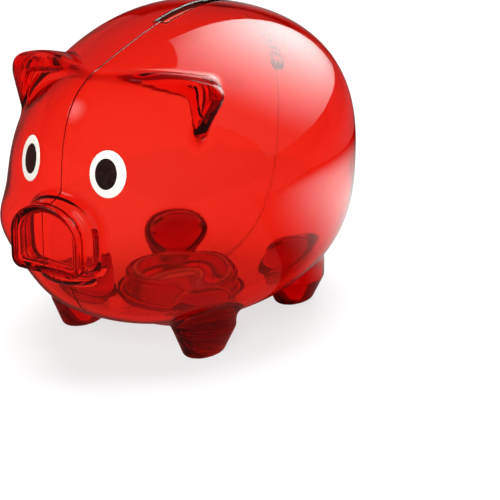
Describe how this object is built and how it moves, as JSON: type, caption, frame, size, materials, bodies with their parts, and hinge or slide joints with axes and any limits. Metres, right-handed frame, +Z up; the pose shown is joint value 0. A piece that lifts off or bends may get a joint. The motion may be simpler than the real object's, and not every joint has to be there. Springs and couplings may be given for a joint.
{
  "type": "piggy bank",
  "caption": "Hollow translucent pig money box in two glued half shells, with a coin slot in the back, printed eyes and a push-in stopper in the belly.",
  "frame": {"origin": "on the surface the pig stands on, under the centre of its overall box", "axes": "-X towards the snout, -Y towards the pig's own left side, +Z up"},
  "size_m": [0.115, 0.0876, 0.0878],
  "materials": {
    "shell_red": "clear red polystyrene, polished mould surface",
    "stopper_red": "soft red vinyl, satin",
    "ink_white": "pad-printed ivory ink, glossy",
    "ink_black": "pad-printed black ink, glossy"
  },
  "bodies": {
    "bank": {"left_half_shell": "shell_red", "right_half_shell": "shell_red", "left_eye_white": "ink_white", "right_eye_white": "ink_white", "left_pupil": "ink_black", "right_pupil": "ink_black"},
    "stopper": {"belly_stopper": "stopper_red"}
  },
  "joints": [
    {"name": "stopper_pull", "type": "slide", "parent": "bank", "child": "stopper", "axis": [0, 0, -1], "range_m": [0, 0.03]}
  ]
}
